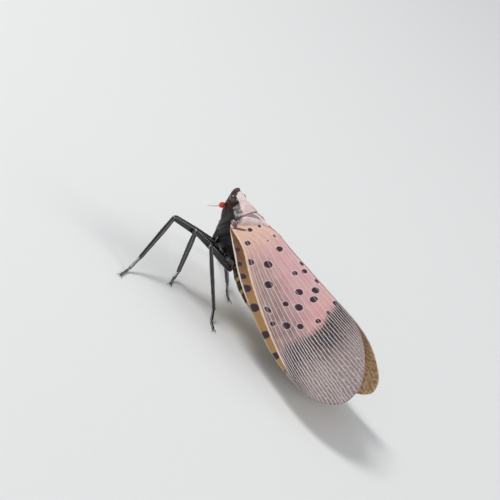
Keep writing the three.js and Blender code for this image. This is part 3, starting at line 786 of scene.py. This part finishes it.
def grain_group():
    """The shared fine grain: two noises of different scale, as a mottle and a height."""
    if "Fine grain" in bpy.data.node_groups:
        return bpy.data.node_groups["Fine grain"]
    tree = bpy.data.node_groups.new("Fine grain", "ShaderNodeTree")
    for name, way in (("Vector", "INPUT"), ("Scale", "INPUT"), ("Mottle", "OUTPUT"), ("Height", "OUTPUT")):
        kind = "NodeSocketVector" if name == "Vector" else "NodeSocketFloat"
        tree.interface.new_socket(name, in_out=way, socket_type=kind)
    start, end = tree.nodes.new("NodeGroupInput"), tree.nodes.new("NodeGroupOutput")
    vector, scale = (Field(tree, start.outputs[i]) for i in (0, 1))
    coarse, fine = noise(vector, scale), noise(vector, scale * 6.0)
    tree.links.new((coarse * 0.7 + fine * 0.3).socket, end.inputs[0])
    tree.links.new(fine.socket, end.inputs[1])
    return tree


def grain(tree, scale):
    """The fine grain on Object coordinates: its mottle and its height."""
    made = node(tree, "Group", {0: object_place(tree), 1: scale}, node_tree=grain_group())
    return Field(tree, made.outputs[0]), Field(tree, made.outputs[1])


def finish_material(
    name, build, *given, bump=0.3, step=0.00003, roughness=0.4, coat=0.0, coat_roughness=0.1, specular=0.5
):
    """A material whose colour, roughness (or None) and height come from build, the rest from plain values."""
    made = bpy.data.materials.new(name)
    made.use_nodes = True
    tree = made.node_tree
    sockets = tree.nodes["Principled BSDF"].inputs
    sockets["Roughness"].default_value = roughness
    sockets["Coat Weight"].default_value = coat
    sockets["Coat Roughness"].default_value = coat_roughness
    sockets["Specular IOR Level"].default_value = specular
    base, rough, height = build(tree, *given)
    normal = field(tree, "Bump", {"Strength": bump, "Distance": step, "Height": height})
    for key, value in (("Base Color", base), ("Roughness", rough), ("Normal", normal)):
        if value is not None:
            tree.links.new(value.socket, sockets[key])
    return made


def line_mask(lane, width, pitch, half_width):
    """1 on each line of the pitch, in lanes: the way to the nearest line in mm against a half-width."""
    return ease(lane.math("PINGPONG", pitch / 2) * width, half_width, half_width * 0.4)


def wing_ground(colours, s, lane, mottle, wobble):
    """The wing's ground: pink along the ridge, mauve lower down, cream at the base, warmer before the apex."""
    return layered(
        colours.wing_pink,
        (ease(lane + wobble * 2.0, 2.2, 6.0) * ease(s, 6.0, 10.5), colours.wing_mauve),
        (ease(s + wobble * 4.0, 9.0, 4.6), colours.wing_base),
        (ease(s, 14.0, 17.0) * ease(lane, 5.5, 3.0) * 0.35, SALMON),
        (ease(lane, 0.9, 0.1) * 0.5, PALE_ROSE),
        (ease(mottle, 0.35, 0.75) * 0.25, BLUSH),
    )


def costal_strip(colours, s, blotch, mottle, tremble):
    """The tan strip: brown at its root, mottled, with dark blotches."""
    return layered(
        STRIP_ROOT,
        (ease(s + tremble * 3.0, 6.0, 12.0), colours.strip),
        (ease(mottle, 0.4, 0.7) * 0.3, STRIP_PALE),
        (ease(blotch + tremble * 0.25, 0.05, -0.06), colours.spot),
    )


def netted_apex(colours, s, lane, width, net, reach, chart, wobble, tremble):
    """The apex's threads, which are lines tied by cross veins, and its colour, with cells greyer outwards and
    painted glints on the outer cells.
    """
    jitter = (lane * 4.0).math("FLOOR") * 0.37
    cross = (s + jitter + tremble * 0.5).math("PINGPONG", 0.42)
    ties = ease(cross, 0.07, 0.02) * (ease(net, 3.2, 5.0) * 0.2 + 0.12)
    threads = line_mask(lane, width, 0.25, 0.07).math("MAXIMUM", ties)
    return threads, layered(
        colours.net_dark,
        (ease(net + wobble * 4.0, 1.5, 4.4), CELL_GREY),
        (ease(tremble, -0.1, 0.25) * 0.3, CELL_BROWN),
        # Painted glints: pale specks by noise on the outer cells.
        (ease(noise(chart, 3.0), 0.52, 0.7) * ease(net, 3.0, 6.0) * 0.5, CELL_PAINTED_GLINT),
        (ease(reach, 0.93, 1.0) * 0.6, CELL_RIM),
        (threads * 0.9, colours.net_pale),
    )


def root_patch(s, W, tremble):
    """The brown patch at the wing's root, as a short slanting bar."""
    start, down = ROOT_PATCH
    away = abs(W - (down - (s - start) * ROOT_PATCH_FALL) + tremble * 0.12)
    return ease(away, 0.26, 0.12) * (ease(s, 3.75, 4.0) * ease(s, 5.0, 4.6))


def forewing_skin(tree, colours):
    """The forewing: pink to mauve, pale veins, dark spots, a tan strip, a netted apex and a tan underside
    painted bright gold as sunlight.
    """
    (s, W, lane), chart = per_point(tree, "chart")
    (spot, blotch, net), (width, reach, below) = (per_point(tree, name)[0] for name in ("fields", "extra"))
    mottle, fine = grain(tree, 900.0)
    wobble, tremble = noise(chart, 1.6) - 0.5, noise(chart, 6.0) - 0.5
    lane = lane + wobble * 0.16
    # long veins, and finer ones that come in between them
    strong = line_mask(lane, width, 1.0, 0.1) * ease(s, 4.6, 6.5)
    middling = line_mask(lane, width, 0.5, 0.07) * ease(s, 7.5, 10.0)
    faint = line_mask(lane, width, 0.25, 0.045) * 0.45 * ease(s, 6.0, 11.0)
    veins = strong.math("MAXIMUM", middling.math("MAXIMUM", faint))
    edge = spot + tremble * 0.16
    start = ease(net + tremble * 1.2, -0.2, 0.7)
    threads, apex = netted_apex(colours, s, lane, width, net, reach, chart, wobble, tremble)
    from_ridge, from_main = lane * width, abs(lane - MAIN_LANE) * width
    skin = layered(
        wing_ground(colours, s, lane, mottle, wobble),
        (veins * 0.75, colours.wing_vein),
        (ease(edge, 0.16, 0.04) * 0.35, SPOT_RING),
        (ease(edge, 0.03, -0.04) * (1.0 - strong * 0.3), colours.spot),
        (ease(lane, MAIN_LANE, MAIN_LANE + 0.14), costal_strip(colours, s, blotch, mottle, tremble)),
        (start, apex),
        (ease(from_main, 0.17, 0.06) * ease(s, 21.5, 19.0), VEIN_CREAM),
        (root_patch(s, W, tremble) * 0.9, ROOT_BROWN),
        # The costal hem: a pale vein with a painted highlight, strongest towards the base.
        (ease(lane, 8.8, 8.88) * (ease(s, 12.5, 9.5) * 0.6 + 0.35), HEM_HIGHLIGHT_CREAM),
        (ease(from_ridge, 0.17, 0.12) * ease(from_ridge, 0.05, 0.08), RIDGE_BROWN),
        # The underside's tan is brightened to gold and brown as painted sunlight glowing through the far wing.
        (below * 0.8, blend(ease(noise(chart, 2.6), 0.46, 0.58), UNDER_SUNLIT_GOLD, UNDER_SUNLIT_BROWN)),
    )
    return skin, mottle * 0.2 + 0.4, veins.math("MAXIMUM", threads * start) * 0.8 + fine * 0.25


def hindwing_skin(tree, colours):
    """The hindwing: red with black spots at the base, a white band, and a black apex with pale veins."""
    (s, _, lane), chart = per_point(tree, "chart")
    mottle, fine = grain(tree, 900.0)
    reach = s + (noise(chart, 0.9) - 0.5) * 2.5
    vein = ease(lane.math("PINGPONG", 0.5), 0.06, 0.02)
    skin = layered(
        colours.hind_red,
        (ease(cell_distance(chart, 0.75), 0.3, 0.26), colours.spot),
        (ease(reach, 12.6, 12.9), HIND_WHITE),
        (ease(reach, 16.2, 16.5), colours.net_dark),
        (vein * 0.5, HIND_VEIN),
    )
    return skin, mottle * 0.2 + 0.4, vein + fine * 0.3


def head_colours(colours, s, out, h, mottle, wobble):
    """The head: a brown face, black behind the eyes, a paler tip, and the whitish vertex with a round front."""
    vertex = ease(s + out * out * -0.7, 0.45, 0.62) * ease(out, 0.9, 0.74) * ease(h, -0.2, -0.02)
    return layered(
        colours.head,
        (ease(mottle, 0.35, 0.7), FACE_BROWN),
        (ease(out, 0.66, 0.8) * ease(h, -1.1, -0.8), CHEEK_BLACK),
        (ease(s, 0.5, 0.25) * ease(h, -0.2, 0.1), SNOUT_BROWN),
        (vertex * ease(mottle + wobble * 0.3, 0.2, 0.45), VERTEX_WHITE),
    )


def shield_colours(colours, s, s2, out, place, mottle, wobble):
    """The shields: pink cream, flecked side lobes, a groove between them, mauve marks and pale ridges."""
    lobe = ease(out - (s - PRONOTUM_START) * 0.45 + wobble * 0.4, 0.84, 1.06) * ease(s, 4.2, 3.2)
    fleck = blend(ease(noise(place, 3.2, 1.0), 0.5, 0.68), LOBE_DARK, LOBE_FLECK)
    hind_edge = out + s2 * SLANT_LEAN - (SLANT_AT - 0.05)
    mark = ease(hind_edge, 0.04, -0.08) * ease(out, 0.22, 0.34) * ease(s, 3.36, 3.44)
    slant = abs(out + s * SLANT_LEAN - SLANT_AT)
    return layered(
        colours.shield,
        (ease(mottle, 0.35, 0.7), SHIELD_ROSE),
        (lobe * 0.9, fleck),
        (ease(abs(s - PRONOTUM_END), 0.07, 0.02) * 0.8, colours.shield_mark),
        (mark * 0.75, colours.shield_mark),
        (ease(slant, 0.09, 0.03) * ease(s, 3.35, 3.5) * 0.7, SHIELD_LINE),
        (ease(abs(s - 1.86), 0.06, 0.02) * 0.5, SHIELD_RIM),
    )


def belly_colours(colours, s, out, h, mottle, wobble):
    """The abdomen: a black back and belly plates on yellow, which shows between the rings. The black bands are
    real but drawn wide, and the yellow is mottled with a darker olive, in part as painted shade.
    """
    beat = ((s - ABDOMEN_START) / RING_LENGTH + wobble * 0.12).math("FRACT")
    band = ease(beat, 0.16, 0.22) * ease(beat, 0.93, 0.88) * ease(out + h * 0.55, -0.9, -0.6)
    return layered(colours.belly, (ease(mottle, 0.35, 0.7), BELLY_SHADED_OLIVE), (band, colours.chitin))


def trunk_skin(tree, colours):
    """The trunk by its (s, n, h): head, shields down to their edge, black thorax below, and banded abdomen."""
    (s, n, h), place = per_point(tree, "place")
    out = abs(n)
    mottle, fine = grain(tree, 1100.0)
    wobble = noise(place, 1.8) - 0.5
    s2, h2 = s + wobble * 0.25, h + wobble * 0.3
    flank = blend(ease(mottle, 0.5, 0.72), colours.chitin, FLANK_BROWN)
    shields = shield_colours(colours, s, s2, out, place, mottle, wobble)
    skin = layered(
        head_colours(colours, s2, out, h2, mottle, wobble),
        (ease(s, HEAD_END, PRONOTUM_START), blend(ease(h2, -0.86, -0.7) * ease(s, 5.9, 5.7), flank, shields)),
        (ease(s2, ABDOMEN_START, ABDOMEN_START + 0.4), belly_colours(colours, s, out, h, mottle, wobble)),
    )
    return skin, mottle * 0.3 + 0.38, fine


def plain_skin(tree, scale, base, other, low=0.4, high=0.7):
    """Two colours mottled by the fine grain."""
    mottle, fine = grain(tree, scale)
    return blend(ease(mottle, low, high), base, other), None, fine


def leg_skin(tree, colours):
    """The legs: black, browner by patches, with painted grey highlights along the four ridges that run down each
    leg.
    """
    turn = per_point(tree, "turn")[0][0]
    mottle, fine = grain(tree, 1800.0)
    # Painted highlights: pale lines along the four ridges, broken by the mottle.
    ridge_highlight = ease(turn.math("PINGPONG", 1 / 8), 0.034, 0.012) * (mottle * 0.7 + 0.3) * 0.8
    return layered(colours.chitin, (ease(mottle, 0.5, 0.8), LEG_BROWN), (ridge_highlight, LEG_RIDGE_HIGHLIGHT)), None, fine


def antenna_skin(tree, colours):
    """The antenna: an orange-red bulb on a dark stalk, with a dark hair."""
    on_bulb = per_point(tree, "tint")[0][0]
    red, rough, fine = plain_skin(tree, 2500.0, colours.antenna, BULB_DARK)
    return blend(ease(on_bulb, 0.3, 0.7), STALK_BROWN, red), rough, fine


def eye_skin(tree):
    """The eye: dark purple-brown and mottled, with its facets as a fine honeycomb of bumps."""
    brown, rough, _ = plain_skin(tree, 1200.0, EYE_DARK, EYE_BROWN)
    return brown, rough, cell_distance(object_place(tree), 16000.0)


# The makers of the pieces


def sizes_of(context):
    return context.scene.lanternfly_sizes


def colours_of(context):
    return context.scene.lanternfly_colours


def make_pairs(*kinds):
    """Left and right pieces from (name, shape for a side, finish, slot), each for the node of that name. The
    slot is not used.
    """
    for end, side in (("left", 1), ("right", -1)):
        for name, shape, finish, slot in kinds:
            make_piece(name + "." + end, shape(side), finish, slot, name.lower() + "_" + end)


class LANTERNFLY_OT_forewings(bpy.types.Operator):
    """Make the two spotted forewings"""

    bl_idname = "lanternfly.forewings"
    bl_label = "Forewings"

    def execute(self, context):
        sizes = sizes_of(context)
        settings = sizes.wing_thickness / MM, sizes.vein_relief / MM, sizes.spot_growth
        shine = {"bump": 0.6, "step": 0.00004, "coat": 0.06, "coat_roughness": 0.25, "specular": 0.3}
        finish = finish_material("Forewing membrane", forewing_skin, colours_of(context), **shine)
        make_pairs(("Forewing", lambda side: forewing_shape(side, *settings), finish, "forewing_membrane"))
        return {"FINISHED"}


class LANTERNFLY_OT_hindwings(bpy.types.Operator):
    """Make the two red hindwings, folded under the forewings"""

    bl_idname = "lanternfly.hindwings"
    bl_label = "Hindwings"

    def execute(self, context):
        thickness = sizes_of(context).wing_thickness / MM
        finish = finish_material("Hindwing membrane", hindwing_skin, colours_of(context), bump=0.4, coat=0.15)
        make_pairs(("Hindwing", lambda side: hindwing_shape(side, thickness), finish, "hindwing_membrane"))
        return {"FINISHED"}


class LANTERNFLY_OT_trunk(bpy.types.Operator):
    """Make head, shields, thorax and abdomen as one skin, with the shoulder scales"""

    bl_idname = "lanternfly.trunk"
    bl_label = "Trunk"

    def execute(self, context):
        shape = trunk_shape(sizes_of(context).segment_relief / MM)
        shine = {"bump": 0.4, "coat": 0.08, "coat_roughness": 0.3, "specular": 0.3}
        skin = finish_material("Body skin", trunk_skin, colours_of(context), **shine)
        nodes = ("head", "pronotum", "mesonotum", "thorax", "abdomen")
        make_piece("Trunk", shape, skin, "abdomen_skin", *nodes)
        mottling = 900.0, TEGULA_DARK, TEGULA_PALE, 0.48, 0.6
        scale = finish_material("Shoulder scale", plain_skin, *mottling, roughness=0.3, coat=0.5)
        make_pairs(("Tegula", lambda side: egg_shape(TEGULA, side), scale, "shield"))
        return {"FINISHED"}


class LANTERNFLY_OT_head_parts(bpy.types.Operator):
    """Make the eyes, the antennae and the rostrum"""

    bl_idname = "lanternfly.head_parts"
    bl_label = "Eyes, antennae and rostrum"

    def execute(self, context):
        colours = colours_of(context)
        shine = {"bump": 0.15, "step": 0.00001, "roughness": 0.16, "coat": 0.8, "coat_roughness": 0.04}
        eye = finish_material("Eye", eye_skin, **shine)
        bulb = finish_material("Antenna bulb", antenna_skin, colours, bump=0.8, roughness=0.35, coat=0.3)
        mottling = 1500.0, colours.chitin, ROSTRUM_BROWN
        black = finish_material("Rostrum", plain_skin, *mottling, roughness=0.3, coat=0.4)
        make_pairs(
            ("Eye", lambda side: egg_shape(EYEBALL, side, 60, 72), eye, "eye"),
            ("Antenna", antenna_shape, bulb, "antenna_bulb"),
        )
        make_piece("Rostrum", rostrum_shape(), black, "chitin_black", "rostrum")
        return {"FINISHED"}


class LANTERNFLY_OT_legs(bpy.types.Operator):
    """Make the six legs, each one skin from the trunk to its claws"""

    bl_idname = "lanternfly.legs"
    bl_label = "Legs"

    def execute(self, context):
        shine = {"bump": 0.25, "roughness": 0.26, "coat": 0.6, "coat_roughness": 0.12}
        finish = finish_material("Leg chitin", leg_skin, colours_of(context), **shine)
        for name in LEGS:
            nodes = [stretch + "_" + name for stretch in ("coxa", "femur", "tibia", "tarsus")]
            shape = leg_shape(name, sizes_of(context).leg_girth)
            make_piece("Leg." + name, shape, finish, "chitin_black", *nodes)
        return {"FINISHED"}


class LANTERNFLY_OT_stage(bpy.types.Operator):
    """Make the floor, the studio lights and the camera"""

    bl_idname = "lanternfly.stage"
    bl_label = "Stage"

    def execute(self, context):
        scene = context.scene
        mesh = bpy.data.meshes.new("Floor")
        corners = [(x * FLOOR_HALF, y * FLOOR_HALF, 0) for x, y in ((-1, -1), (1, -1), (1, 1), (-1, 1))]
        mesh.from_pydata(corners, [], [(0, 1, 2, 3)])
        floor = bpy.data.objects.new("Floor", mesh)
        scene.collection.objects.link(floor)
        pale = bpy.data.materials.new("Pale floor")
        pale.use_nodes = True
        shader = pale.node_tree.nodes["Principled BSDF"]
        shader.inputs["Base Color"].default_value = FLOOR_COLOUR
        shader.inputs["Roughness"].default_value = 0.7
        mesh.materials.append(pale)
        for name, place, size, power in LIGHTS:
            light = bpy.data.lights.new(name, "AREA")
            light.size = size
            light.energy = power
            lamp = bpy.data.objects.new(name, light)
            lamp.location = place
            lamp.rotation_euler = (LIGHT_TARGET - Vector(place)).to_track_quat("-Z", "Y").to_euler()
            scene.collection.objects.link(lamp)
        scene.view_settings.view_transform = "Standard"
        world = scene.world or bpy.data.worlds.new("Studio")
        scene.world = world
        world.use_nodes = True
        background = world.node_tree.nodes["Background"]
        background.inputs["Color"].default_value = SKY_COLOUR
        background.inputs["Strength"].default_value = SKY_STRENGTH
        place_camera(scene)
        return {"FINISHED"}


def place_camera(scene):
    """
    The camera looks along a ray set by its lift and turn against the body, from CAMERA_DISTANCE away. It is
    rolled so that the body runs along BODY_RUN in the picture, and aimed so that the head's tip falls on
    TIP_PIXEL.
    """
    origin = body_points(0, 0, 0)
    level = math.cos(CAMERA_LIFT)
    ray = (level * math.sin(CAMERA_BEHIND), level * math.cos(CAMERA_BEHIND), math.sin(CAMERA_LIFT))
    back = body_points(*ray) - origin
    run = body_points(1, 0, 0) - origin
    run = unit_vector(run - back * (run @ back))
    side = np.cross(back, run)
    side = side * np.sign(side @ (body_points(0, 0, 1) - origin))
    a, b = unit_vector(np.array(BODY_RUN))
    right, up = a * run + b * side, a * side - b * run
    off = (np.array(TIP_PIXEL) - PICTURE / 2) * PIXEL
    place = origin + SHIFT - right * off[0] + up * off[1] + back * CAMERA_DISTANCE
    data = bpy.data.cameras.new("Camera")
    data.sensor_width = SENSOR
    data.lens = CAMERA_DISTANCE / (PICTURE * PIXEL) * SENSOR
    data.clip_start, data.clip_end = 0.005, 10
    camera = bpy.data.objects.new("Camera", data)
    turned = Matrix(np.stack([right, up, back], 1).tolist()).to_4x4()
    camera.matrix_world = Matrix.Translation(Vector((place * MM).tolist())) @ turned
    scene.collection.objects.link(camera)
    scene.camera = camera


class LANTERNFLY_PT_pieces(bpy.types.Panel):
    """The lanternfly's pieces and their sizes and colours"""

    bl_idname = "LANTERNFLY_PT_pieces"
    bl_label = "Lanternfly"
    bl_space_type = "VIEW_3D"
    bl_region_type = "UI"
    bl_category = "Lanternfly"

    def draw(self, context):
        for operator in OPERATORS:
            self.layout.operator(operator.bl_idname)
        for group in (sizes_of(context), colours_of(context)):
            for key in group.__annotations__:
                self.layout.prop(group, key)


OPERATORS = (
    LANTERNFLY_OT_stage,
    LANTERNFLY_OT_forewings,
    LANTERNFLY_OT_hindwings,
    LANTERNFLY_OT_trunk,
    LANTERNFLY_OT_head_parts,
    LANTERNFLY_OT_legs,
)
CLASSES = (LanternflySizes, LanternflyColours, *OPERATORS, LANTERNFLY_PT_pieces)


def register():
    for kind in CLASSES:
        bpy.utils.register_class(kind)
    bpy.types.Scene.lanternfly_sizes = bpy.props.PointerProperty(type=LanternflySizes)
    bpy.types.Scene.lanternfly_colours = bpy.props.PointerProperty(type=LanternflyColours)


def unregister():
    del bpy.types.Scene.lanternfly_colours
    del bpy.types.Scene.lanternfly_sizes
    for kind in reversed(CLASSES):
        bpy.utils.unregister_class(kind)


def main():
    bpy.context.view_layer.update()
    register()
    for operator in OPERATORS:
        group, name = operator.bl_idname.split(".")
        getattr(getattr(bpy.ops, group), name)()


if __name__ == "__main__":
    main()
